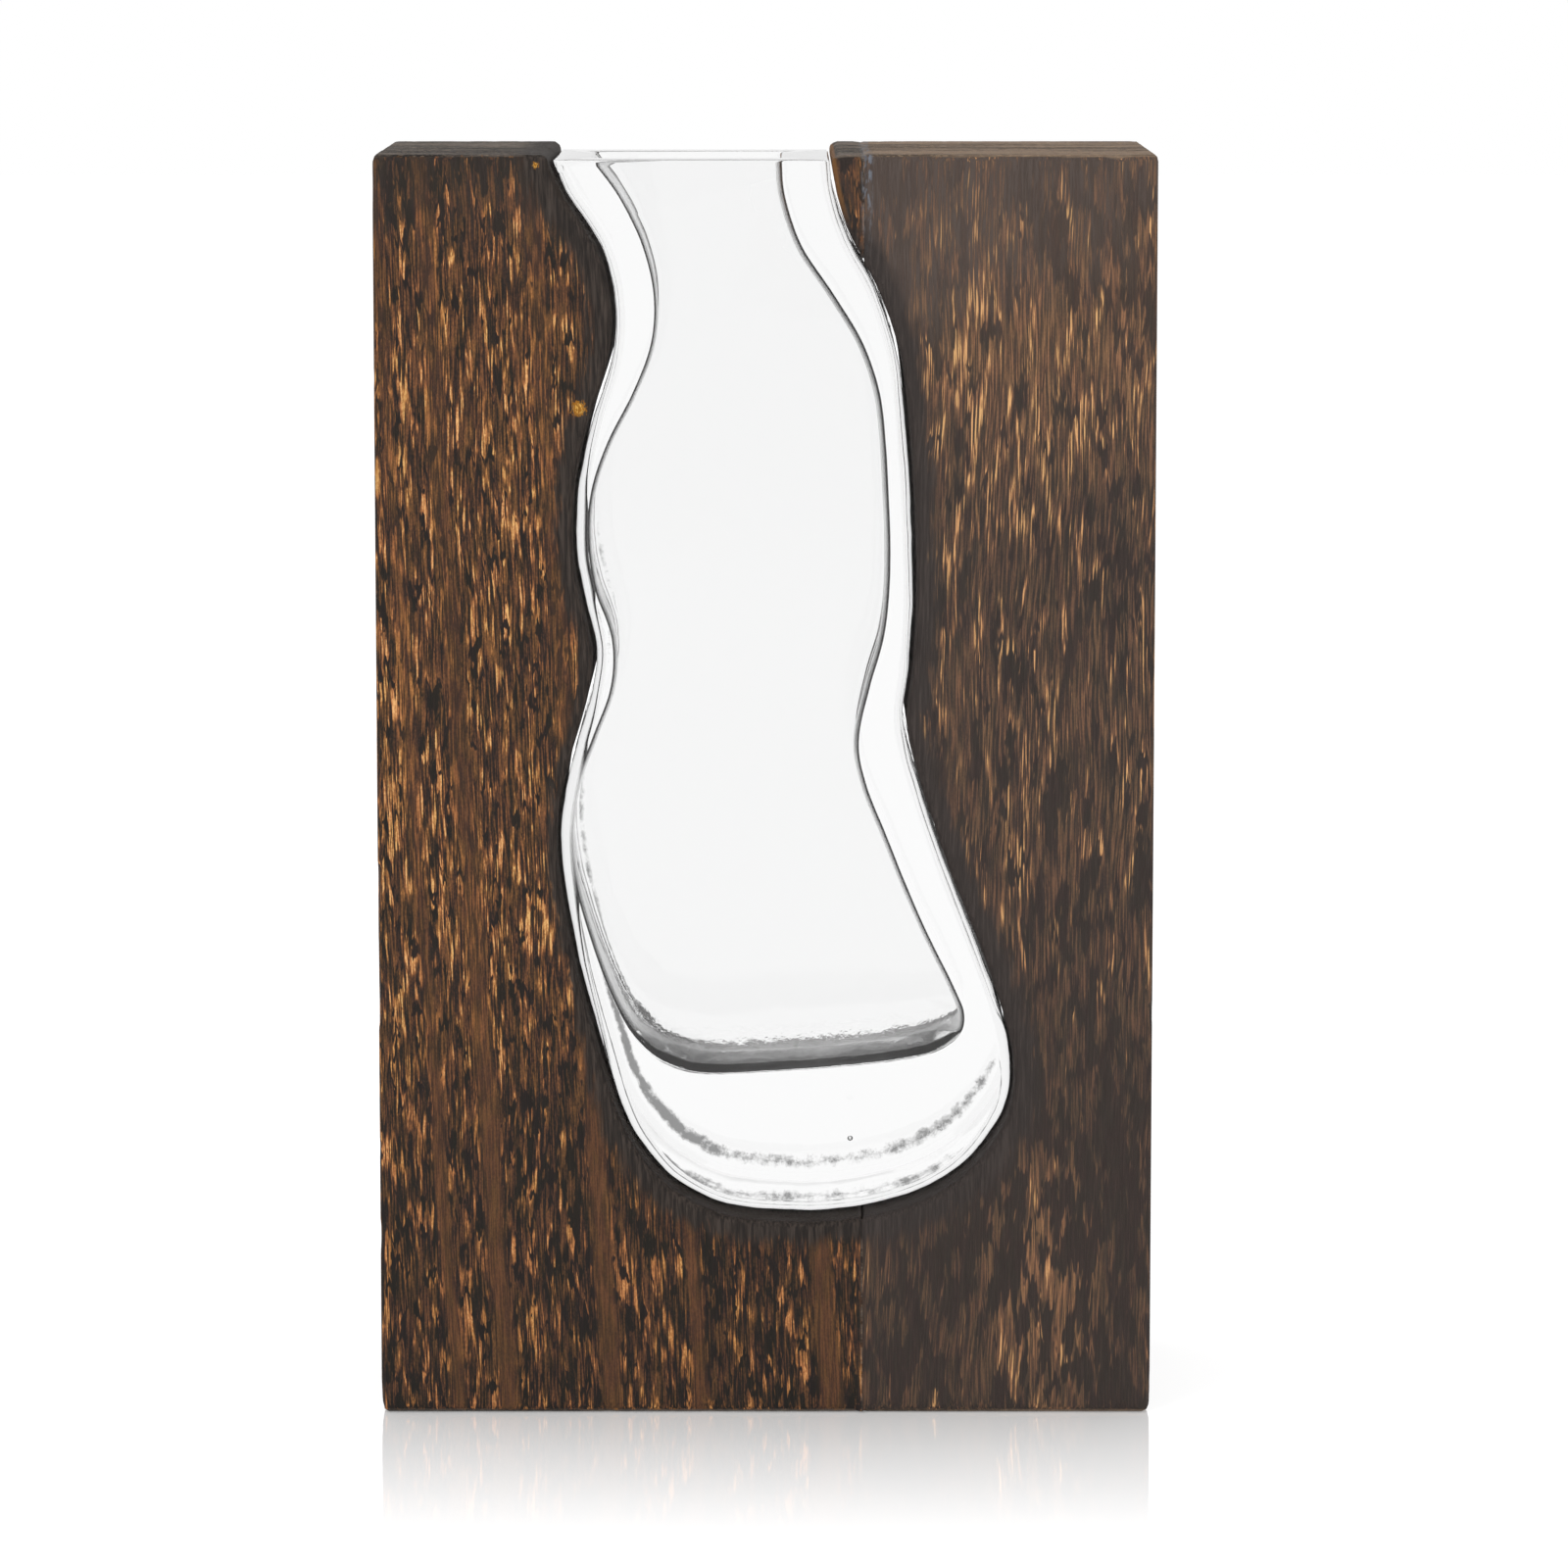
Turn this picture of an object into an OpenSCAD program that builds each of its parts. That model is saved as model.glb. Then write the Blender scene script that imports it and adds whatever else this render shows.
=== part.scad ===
// Clear glass vase with a wavy outline, standing in a cut-out through an upright charred wood block.
// The block is glued up from two boards. The origin is the middle of its base, +Z is up and -Y is
// the front. The vase slides out of the cut-out forwards or backwards.

/* [Vase] */
// Width of the vase over its widest points
vase_w = 92; // [70:1:120]
// Height of the vase
vase_h = 212; // [160:1:280]
// Depth of the vase between its flat faces
vase_d = 59; // [46:1:80]
// Radius of the rounded edges round the two flat faces
vase_edge_r = 2.5; // [1:0.1:4]

/* [Block round the vase] */
// Wood left of the widest point of the vase
left_wood = 35.2; // [20:0.1:60]
// Wood right of it
right_wood = 27.8; // [16:0.1:50]
// Wood below the vase
foot_h = 39.6; // [15:0.1:80]
// How far the rim of the vase lies below the top of the block
rim_drop = 1.4; // [0.4:0.1:8]
// How far the flat faces of the vase lie behind the front and the back of the block
face_drop = 8; // [0:0.5:20]
// Width that the neck strip has at the rim of the vase
strip_w = 6.4; // [4:0.1:10]
// Gap between the glass and the cut-out
fit_gap = 0.4; // [0.3:0.05:0.9]
// Radius of the eased outer edges of the block
edge_r = 1.5; // [0.5:0.1:4]
// Radius that the two arms have beside the rim of the vase
arm_r = 2; // [0.8:0.1:3]

/* [Hollow] */
// How far the widest point of the hollow lies inside that of the vase, on the left
left_wall = 2.8; // [2.2:0.1:5]
// The same on the right
right_wall = 9.5; // [7:0.1:13]
// Thickness of the glass in front of the hollow and behind it
face_wall = 13.5; // [6:0.5:15]
// Thickness of the glass below the hollow
floor_wall = 26; // [16:1:40]
// Radius between the sides of the hollow and its front and back
hollow_side_r = 1.5; // [1:0.1:4]
// The same at its floor
hollow_floor_r = 5.8; // [3:0.1:8]

/* [Hidden] */

// Extra length of every cutter past the face that it cuts through
overrun = 2;
// Points on each stretch of an outline, and over how many of them a sweep turns level at its ends
curve_steps = 2;
level_steps = 4;
// Flats on a rounded edge of wood and of glass
edge_flats = 4;
glass_flats = 3;

wood_colour = [0.23, 0.15, 0.1];
dark_wood_colour = [0.2, 0.14, 0.11];
glass_colour = [0.86, 0.93, 0.94, 0.4];

// Outline of the vase, as shares of its width either side of its middle and of its height
vase_left_shares = [
    [-0.5, 1], [-0.468, 0.968], [-0.423, 0.939], [-0.384, 0.905], [-0.366, 0.858],
    [-0.377, 0.81], [-0.416, 0.757], [-0.446, 0.7], [-0.452, 0.636], [-0.434, 0.588],
    [-0.41, 0.54], [-0.422, 0.495], [-0.454, 0.448], [-0.48, 0.401], [-0.489, 0.355],
    [-0.474, 0.298], [-0.444, 0.232], [-0.402, 0.165], [-0.359, 0.104], [-0.312, 0.065]
];
vase_foot_shares = [
    [-0.241, 0.031], [-0.133, 0.007], [0.003, 0], [0.112, 0.001], [0.221, 0.009],
    [0.318, 0.024]
];
vase_right_shares = [
    [0.397, 0.047], [0.458, 0.079], [0.493, 0.113], [0.495, 0.157], [0.465, 0.209],
    [0.413, 0.27], [0.361, 0.326], [0.311, 0.389], [0.276, 0.439], [0.261, 0.476],
    [0.273, 0.521], [0.282, 0.582], [0.28, 0.648], [0.273, 0.709], [0.26, 0.778],
    [0.242, 0.827], [0.197, 0.882], [0.14, 0.928], [0.109, 0.968], [0.098, 1]
];

// Outline of the hollow, as shares of its own width and height
hollow_left_shares = [
    [-0.442, 1], [-0.372, 0.959], [-0.313, 0.907], [-0.285, 0.854], [-0.292, 0.801],
    [-0.338, 0.748], [-0.401, 0.695], [-0.442, 0.642], [-0.451, 0.589], [-0.433, 0.535],
    [-0.392, 0.482], [-0.395, 0.429], [-0.44, 0.375], [-0.485, 0.321], [-0.5, 0.266],
    [-0.486, 0.213], [-0.452, 0.159], [-0.408, 0.104], [-0.363, 0.061], [-0.317, 0.032]
];
hollow_floor_shares = [
    [-0.255, 0.011], [-0.155, 0], [0.042, 0.003], [0.196, 0.008], [0.334, 0.015],
    [0.428, 0.025]
];
hollow_right_shares = [
    [0.485, 0.044], [0.5, 0.069], [0.472, 0.101], [0.406, 0.159], [0.351, 0.213],
    [0.301, 0.267], [0.251, 0.321], [0.231, 0.37], [0.258, 0.428], [0.293, 0.482],
    [0.307, 0.535], [0.309, 0.589], [0.304, 0.642], [0.297, 0.695], [0.282, 0.748],
    [0.241, 0.801], [0.167, 0.854], [0.086, 0.907], [0.045, 0.959], [0.035, 1]
];
// Height of the cut between the neck strip and the rest, inside the cut-out, as a share of the vase
strip_floor_share = 0.6;

// Sizes and places that follow from those above. The origin is the middle of the base.
block_w = left_wood + vase_w + right_wood;
block_d = vase_d + 2 * face_drop;
block_h = foot_h + vase_h + rim_drop;
vase_shift = (left_wood - right_wood) / 2;
vase_z = foot_h;
hollow_w = vase_w - left_wall - right_wall;
hollow_h = vase_h - floor_wall;
hollow_shift = vase_shift + (left_wall - right_wall) / 2;
hollow_d = vase_d - 2 * face_wall;

vase_path = [
    for (p = smooth(concat(vase_left_shares, vase_foot_shares, vase_right_shares), curve_steps))
        [vase_shift + p[0] * vase_w, vase_z + p[1] * vase_h]
];
hollow_path = [
    for (p = smooth(concat(hollow_left_shares, hollow_floor_shares, hollow_right_shares), curve_steps))
        [hollow_shift + p[0] * hollow_w, vase_z + floor_wall + p[1] * hollow_h]
];
// Where the rim of the vase ends on the left and on the right, and the glue joint beside it
rim_left_x = vase_path[0][0];
rim_right_x = vase_path[len(vase_path) - 1][0];
joint_x = rim_right_x + fit_gap + strip_w;

// Curves

// A point on a smooth curve between b and c, with a before them and d after them
function between(a, b, c, d, t) =
    (2 * b + (c - a) * t + (2 * a - 5 * b + 4 * c - d) * t * t + (3 * b - a - 3 * c + d) * t * t * t) / 2;

// A smooth open curve through all the points
function smooth(points, steps) =
    let (last = len(points) - 1)
    [
        for (i = [0 : last - 1], k = [0 : steps - 1])
            between(points[max(i - 1, 0)], points[i], points[i + 1], points[min(i + 2, last)], k / steps),
        points[last]
    ];

// The direction towards the inside of a path that runs down the left and up the right. It turns
// level towards both ends, so that the ends of a sweep lie flat.
function inward(path, i) =
    let (
        last = len(path) - 1,
        along = path[min(i + 1, last)] - path[max(i - 1, 0)],
        tilt = min(1, i / level_steps, (last - i) / level_steps),
        across = [-along[1], along[0] * tilt]
    )
    across / norm(across);

// The path moved outwards by a distance
function widened(path, distance) =
    [for (i = [0 : len(path) - 1]) path[i] - inward(path, i) * distance];

// Profile of a solid with rounded edges, front to back: how far in from the outline, and how far back
function rounded_profile(depth, r) =
    let (
        front = [
            for (k = [0 : glass_flats])
                let (a = 90 * k / glass_flats)
                [r * (1 - sin(a)), r * (1 - cos(a)) - depth / 2]
        ]
    )
    concat(front, [for (k = [glass_flats : -1 : 0]) [front[k][0], -front[k][1]]]);

// A quarter circle, from one angle to another, round a centre
function quarter(centre, r, from, to) =
    [
        for (k = [0 : edge_flats])
            let (a = from + (to - from) * k / edge_flats)
            centre + r * [cos(a), sin(a)]
    ];

// Corner points of a rectangle with rounded corners, low is its lower left corner
function rounded_rectangle(low, w, h, r) =
    concat(
        quarter(low + [r, r], r, 180, 270),
        quarter(low + [w - r, r], r, 270, 360),
        quarter(low + [w - r, h - r], r, 0, 90),
        quarter(low + [r, h - r], r, 90, 180)
    );

// A list in the opposite order
function reversed(list) = [for (k = [len(list) - 1 : -1 : 0]) list[k]];

// The points of a skin whose edge follows a path, with a profile at each point of the path
function skin_points(path, profiles) = [
    for (i = [0 : len(path) - 1], edge = profiles[i])
        let (p = path[i] + inward(path, i) * edge[0])
        [p[0], edge[1], p[1]]
];

// The faces of such a skin: its edge all along, its front and its back. It is open at the top.
function skin_faces(stations, count, first) =
    concat(
        [
            for (i = [0 : stations - 2], j = [0 : count - 2])
                let (n = first + i * count + j)
                [n, n + count, n + count + 1, n + 1]
        ],
        [for (face = cap_faces(stations)) [for (i = reversed(face)) first + i * count]],
        [for (face = cap_faces(stations)) [for (i = face) first + i * count + count - 1]]
    );

// A flat cap across a path, from its ends down: each face spans from its left side to its right
function cap_faces(stations) = [
    for (i = [0 : floor((stations - 3) / 2)])
        let (k = stations - 1 - i)
        i + 2 == k ? [i, i + 1, k] : [i, i + 1, k - 1, k]
];

// The points round the open top of a skin
function skin_rim(stations, count, first) =
    concat(
        [for (j = [0 : count - 1]) first + j],
        [for (j = [count - 1 : -1 : 0]) first + (stations - 1) * count + j]
    );

// Shapes

// The vase: an outer skin and the skin of the hollow, joined by the flat rim
module vessel() {
    outer_profile = rounded_profile(vase_d, vase_edge_r);
    outer = skin_points(vase_path, [for (p = vase_path) outer_profile]);
    inner_profiles = [
        for (i = [0 : len(hollow_path) - 1])
            let (floor_part = max(inward(hollow_path, i)[1], 0))
            rounded_profile(hollow_d, hollow_side_r + (hollow_floor_r - hollow_side_r) * floor_part)
    ];
    inner = skin_points(hollow_path, inner_profiles);
    count = len(outer_profile);
    outer_rim = skin_rim(len(vase_path), count, 0);
    inner_rim = skin_rim(len(hollow_path), count, len(outer));
    rim_count = len(outer_rim);
    rim_faces = [
        for (k = [0 : rim_count - 1])
            let (next = (k + 1) % rim_count)
            [outer_rim[k], outer_rim[next], inner_rim[next], inner_rim[k]]
    ];
    inner_faces = skin_faces(len(hollow_path), count, len(outer));
    polyhedron(
        concat(outer, inner),
        concat(
            skin_faces(len(vase_path), count, 0),
            [for (face = inner_faces) reversed(face)],
            rim_faces
        ),
        convexity = 10
    );
}

// The opening through the block: the vase's outline with the gap round it, and the arms rounded
module cut_out() {
    arm_z = block_h - arm_r;
    left_x = rim_left_x - fit_gap - arm_r;
    right_x = rim_right_x + fit_gap + arm_r;
    path = concat(
        [[left_x, block_h + overrun]],
        quarter([left_x, arm_z], arm_r, 90, 0),
        [for (p = widened(vase_path, fit_gap)) if (p[1] < arm_z) p],
        quarter([right_x, arm_z], arm_r, 180, 90),
        [[right_x, block_h + overrun]]
    );
    rotate([90, 0, 0])
        linear_extrude(block_d + 2 * overrun, center = true)
            polygon(path);
}

// The whole block with its outer edges eased, before anything is cut
module block_blank() {
    intersection() {
        linear_extrude(block_h)
            polygon(rounded_rectangle([-block_w / 2, -block_d / 2], block_w, block_d, edge_r));
        rotate([90, 0, 0])
            linear_extrude(block_d + 2 * overrun, center = true)
                polygon(rounded_rectangle([-block_w / 2, 0], block_w, block_h, edge_r));
        rotate([90, 0, 90])
            linear_extrude(block_w + 2 * overrun, center = true)
                polygon(rounded_rectangle([-block_d / 2, 0], block_d, block_h, edge_r));
    }
}

// Everything from one height up, between two places across the block
module slice(from_x, to_x, from_z) {
    translate([from_x, -block_d / 2 - overrun, from_z])
        cube([to_x - from_x, block_d + 2 * overrun, block_h + overrun - from_z]);
}

// Everything beside the vase's neck, up to a place across the block
module neck_slice(to_x) {
    slice((rim_left_x + rim_right_x) / 2, to_x, vase_z + strip_floor_share * vase_h);
}

// Parts

module left_board() {
    color(wood_colour)
        difference() {
            intersection() {
                block_blank();
                slice(-block_w / 2 - overrun, joint_x, -overrun);
            }
            cut_out();
            neck_slice(joint_x + overrun);
        }
}

module right_board() {
    color(dark_wood_colour)
        difference() {
            intersection() {
                block_blank();
                slice(joint_x, block_w / 2 + overrun, -overrun);
            }
            cut_out();
        }
}

module neck_strip() {
    color(wood_colour)
        difference() {
            intersection() {
                block_blank();
                neck_slice(joint_x);
            }
            cut_out();
        }
}

module glass_vase() {
    color(glass_colour)
        vessel();
}

left_board();
right_board();
neck_strip();
glass_vase();
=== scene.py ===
# Looks of the clear vase and its charred wood block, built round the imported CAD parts.
# Metres, +Z up, -Y is the front. Sizes named in mm are turned into metres by MM.
import math

import bmesh
import bpy
import numpy as np
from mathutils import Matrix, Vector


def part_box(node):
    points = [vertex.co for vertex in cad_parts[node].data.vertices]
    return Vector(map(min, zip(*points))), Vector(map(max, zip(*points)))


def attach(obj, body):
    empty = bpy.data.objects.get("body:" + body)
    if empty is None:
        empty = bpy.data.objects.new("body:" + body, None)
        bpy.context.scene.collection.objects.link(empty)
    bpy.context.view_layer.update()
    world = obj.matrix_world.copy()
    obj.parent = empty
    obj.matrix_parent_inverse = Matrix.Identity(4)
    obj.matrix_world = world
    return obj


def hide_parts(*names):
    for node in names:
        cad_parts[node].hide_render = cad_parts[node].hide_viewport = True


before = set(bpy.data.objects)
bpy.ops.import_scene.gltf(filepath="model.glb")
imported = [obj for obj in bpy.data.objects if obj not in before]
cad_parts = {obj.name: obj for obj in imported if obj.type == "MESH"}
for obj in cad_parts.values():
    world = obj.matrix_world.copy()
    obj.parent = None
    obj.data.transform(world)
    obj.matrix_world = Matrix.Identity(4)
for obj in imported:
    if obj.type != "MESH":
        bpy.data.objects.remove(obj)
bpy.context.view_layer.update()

MM = 0.001
scene = bpy.context.scene

# Sizes shared with the CAD source.
VASE_W, VASE_H, VASE_D = 92.0, 212.0, 59.0
VASE_SHIFT, RIM_Z = 3.7, 251.6
VASE_EDGE_R = 2.5
LEFT_WALL, RIGHT_WALL, FACE_WALL, FLOOR_WALL = 2.8, 9.5, 13.5, 26.0
HOLLOW_FLOOR_R = 5.8
BLOCK_W, BLOCK_D, BLOCK_H = 155.0, 75.0, 253.0
JOINT_X, FIT_GAP = 19.516, 0.4
# the rounds at the hollow's sides, tighter than the CAD's, from the left rim to the right one
HOLLOW_SIDE_R = (0.9, 1.4)
# steps round an edge of the glass and along its side
EDGE_STEPS, SIDE_STEPS = 9, 12
# the rim's rounding, the eased edge of the cut-out, the vase's ground back edge, and how far in
# from that edge the rings on the back face lie
RIM_BEVEL, CUT_BEVEL = 0.45, 1.3
BACK_BEVEL = (1.6, 0.9)
BACK_INSETS = (0.3, 1.1, 2.1, 3.2, 4.6)
# how much of the mottle lies on each of those rings
RING_MOTTLE = (0, 0.6, 1, 0.75, 0)
# where an edge's points lie on the three flats of the hollow's floor edge
FLOOR_CHORDS = (0, 0.15, 0.85, 1.15, 1.5, 1.85, 2.15, 2.5, 2.85, 3)
# two small bubbles in the foot: x, y, z and radius
BUBBLES = (17.1, -8.0, 52.4, 0.55), (35.6, -6.0, 54.0, 0.28)

# the outlines of the vase and its hollow from the left rim round to the right one, as shares of
# width and height
VASE_SHARES = [
    (-0.5, 1), (-0.468, 0.968), (-0.423, 0.939), (-0.384, 0.905), (-0.366, 0.858),
    (-0.377, 0.81), (-0.416, 0.757), (-0.446, 0.7), (-0.452, 0.636), (-0.434, 0.588),
    (-0.41, 0.54), (-0.422, 0.495), (-0.454, 0.448), (-0.48, 0.401), (-0.489, 0.355),
    (-0.474, 0.298), (-0.444, 0.232), (-0.402, 0.165), (-0.359, 0.104), (-0.312, 0.065),
    (-0.241, 0.031), (-0.133, 0.007), (0.003, 0), (0.112, 0.001), (0.221, 0.009),
    (0.318, 0.024), (0.397, 0.047), (0.458, 0.079), (0.493, 0.113), (0.495, 0.157),
    (0.465, 0.209), (0.413, 0.27), (0.361, 0.326), (0.311, 0.389), (0.276, 0.439),
    (0.261, 0.476), (0.273, 0.521), (0.282, 0.582), (0.28, 0.648), (0.273, 0.709),
    (0.26, 0.778), (0.242, 0.827), (0.197, 0.882), (0.14, 0.928), (0.109, 0.968),
    (0.098, 1),
]
HOLLOW_SHARES = [
    (-0.442, 1), (-0.372, 0.959), (-0.313, 0.907), (-0.285, 0.854), (-0.292, 0.801),
    (-0.338, 0.748), (-0.401, 0.695), (-0.442, 0.642), (-0.451, 0.589), (-0.433, 0.535),
    (-0.392, 0.482), (-0.395, 0.429), (-0.44, 0.375), (-0.485, 0.321), (-0.5, 0.266),
    (-0.486, 0.213), (-0.452, 0.159), (-0.408, 0.104), (-0.363, 0.061), (-0.317, 0.032),
    (-0.255, 0.011), (-0.155, 0), (0.042, 0.003), (0.196, 0.008), (0.334, 0.015),
    (0.428, 0.025), (0.485, 0.044), (0.5, 0.069), (0.472, 0.101), (0.406, 0.159),
    (0.351, 0.213), (0.301, 0.267), (0.251, 0.321), (0.231, 0.37), (0.258, 0.428),
    (0.293, 0.482), (0.307, 0.535), (0.309, 0.589), (0.304, 0.642), (0.297, 0.695),
    (0.282, 0.748), (0.241, 0.801), (0.167, 0.854), (0.086, 0.907), (0.045, 0.959),
    (0.035, 1),
]

# how mottled the back of the vase is near its edge, by the number of the outline's point
MOTTLED_EDGE = [
    (0, 0), (7, 0), (8, 0.6), (10.5, 0.6), (11.2, 0.1), (12.4, 0.1), (13.2, 0.7), (15, 0.8),
    (16.3, 1.05), (17.5, 1.35), (20, 1.3), (21, 0.82), (24, 0.7), (25.2, 0.95), (27.8, 0.9),
    (28.6, 0), (45, 0),
]


# Curves, noise and objects.
def smooth(points, steps):
    """A smooth open curve through all the points."""
    points = np.array(points, float)
    last = len(points) - 1
    out = []
    for i in range(last):
        a, b, c, d = points[max(i - 1, 0)], points[i], points[i + 1], points[min(i + 2, last)]
        for k in range(steps):
            t = k / steps
            square, cube = 2 * a - 5 * b + 4 * c - d, 3 * b - a - 3 * c + d
            out.append((2 * b + (c - a) * t + square * t ** 2 + cube * t ** 3) / 2)
    out.append(points[last])
    return np.array(out)


def inward(path, level):
    """Unit directions towards the inside of a path, turning level over its first and last points."""
    count = len(path)
    i = np.arange(count)
    along = path[np.minimum(i + 1, count - 1)] - path[np.maximum(i - 1, 0)]
    tilt = np.minimum(1, np.minimum(i, count - 1 - i) / level)
    across = np.c_[-along[:, 1], along[:, 0] * tilt]
    return across / np.linalg.norm(across, axis=1)[:, None]


def noise(points, seed):
    """Smooth noise between 0 and 1 at each 3-D point, with cells one unit wide."""
    cell = np.floor(points).astype(np.int64)
    part = points - cell
    part = part * part * (3 - 2 * part)
    total = np.zeros(len(points))
    for corner in np.ndindex(2, 2, 2):
        at = cell + corner
        key = at[:, 0] * 73856093 ^ at[:, 1] * 19349663 ^ at[:, 2] * 83492791 ^ seed * 2654435
        key = (key ^ (key >> 13)) * 1274126177 & 0xFFFFFFFF
        key = (key ^ (key >> 16)) & 0xFFFF
        weight = np.prod(np.where(corner, part, 1 - part), axis=1)
        total += weight * key / 0xFFFF
    return total


def ease(value, low, high):
    """0 below low, 1 above high, and a smooth step between them."""
    t = np.clip((value - low) / (high - low), 0, 1)
    return t * t * (3 - 2 * t)


def new_object(name, data):
    made = bpy.data.objects.new(name, data)
    scene.collection.objects.link(made)
    return made


# Materials.
def tone(r, g, b):
    """A colour from its 0 to 255 screen values."""
    def linear(v):
        v /= 255
        return v / 12.92 if v <= 0.04045 else ((v + 0.055) / 1.055) ** 2.4
    return (linear(r), linear(g), linear(b), 1)


class Shader:
    """A material's nodes. Inputs are numbers, colours or other nodes' outputs."""

    def __init__(self, owner):
        owner.use_nodes = True
        self.tree = owner.node_tree
        self.tree.nodes.clear()

    def add(self, kind, inputs=None, **settings):
        new = self.tree.nodes.new("ShaderNode" + kind)
        for key, value in settings.items():
            setattr(new, key, value)
        for key, value in (inputs or {}).items():
            if isinstance(value, bpy.types.NodeSocket):
                self.tree.links.new(value, new.inputs[key])
            else:
                new.inputs[key].default_value = value
        return new

    def maths(self, operation, a, b=0.0):
        return self.add("Math", {0: a, 1: b}, operation=operation).outputs[0]

    def plus(self, a, b):
        return self.maths("ADD", a, b)

    def times(self, a, b):
        return self.maths("MULTIPLY", a, b)

    def rest(self, a):
        """What is left of 1."""
        return self.maths("SUBTRACT", 1.0, a)

    def vector(self, operation, a, b):
        return self.add("VectorMath", {0: a, 1: b}, operation=operation).outputs[0]

    def stretch(self, vector, x, y, z):
        return self.vector("MULTIPLY", vector, (x, y, z))

    def in_mm(self):
        """The place on the object, in mm."""
        return self.stretch(self.add("TexCoord").outputs["Object"], 1 / MM, 1 / MM, 1 / MM)

    def layer(self, name):
        """A value kept on the mesh's points."""
        return self.add("Attribute", {}, attribute_name=name).outputs["Fac"]

    def noise(self, vector, detail=2.0, roughness=0.5, scale=1.0):
        inputs = {"Vector": vector, "Scale": scale, "Detail": detail, "Roughness": roughness}
        return self.add("TexNoise", inputs).outputs["Fac"]

    def step(self, value, low, high):
        inputs = {"Value": value, "From Min": low, "From Max": high}
        return self.add("MapRange", inputs, interpolation_type="SMOOTHSTEP").outputs["Result"]

    def spread(self, value, low, high, to_low=0.0, to_high=1.0):
        inputs = {"Value": value, "From Min": low, "From Max": high}
        inputs.update({"To Min": to_low, "To Max": to_high})
        return self.add("MapRange", inputs).outputs["Result"]

    def ramp(self, value, stops):
        new = self.add("ValToRGB", {"Fac": value})
        elements = new.color_ramp.elements
        while len(elements) < len(stops):
            elements.new(0.5)
        for element, (position, colour) in zip(elements, sorted(stops)):
            element.position = position
            element.color = colour if isinstance(colour, tuple) else (colour, colour, colour, 1)
        return new.outputs["Color"]

    def centred(self, value, amount):
        """A value that lay between 0 and 1, moved to lie round 0 and scaled."""
        return self.times(self.maths("SUBTRACT", value, 0.5), amount)

    def mix(self, amount, a, b):
        return self.add("Mix", {0: amount, 6: a, 7: b}, data_type="RGBA").outputs[2]

    def out(self, surface):
        self.add("OutputMaterial", {"Surface": surface})


# the x values that the ramp of bands covers, how soft a band's edges are, and the x from which
# the film of char changes height, all in mm
BAND_SPAN, BAND_SOFT, FILM_X = (-90, 100), 0.6, 25.0
GLUE_TONE = tone(112, 116, 124)
RESIN_TONES = tone(150, 98, 34), tone(226, 176, 88)


def band_stops(bands):
    """Ramp stops that are 1 inside each band, given by its centre and half width, and else 0."""
    low, high = BAND_SPAN
    stops = [(0.0, 0.0)]
    for centre, half in bands:
        for edge, values in ((-half, (0.0, 1.0)), (half, (1.0, 0.0))):
            for soft, value in zip((-BAND_SOFT, BAND_SOFT), values):
                stops.append(((centre + edge + soft - low) / (high - low), value))
    return stops


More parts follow.
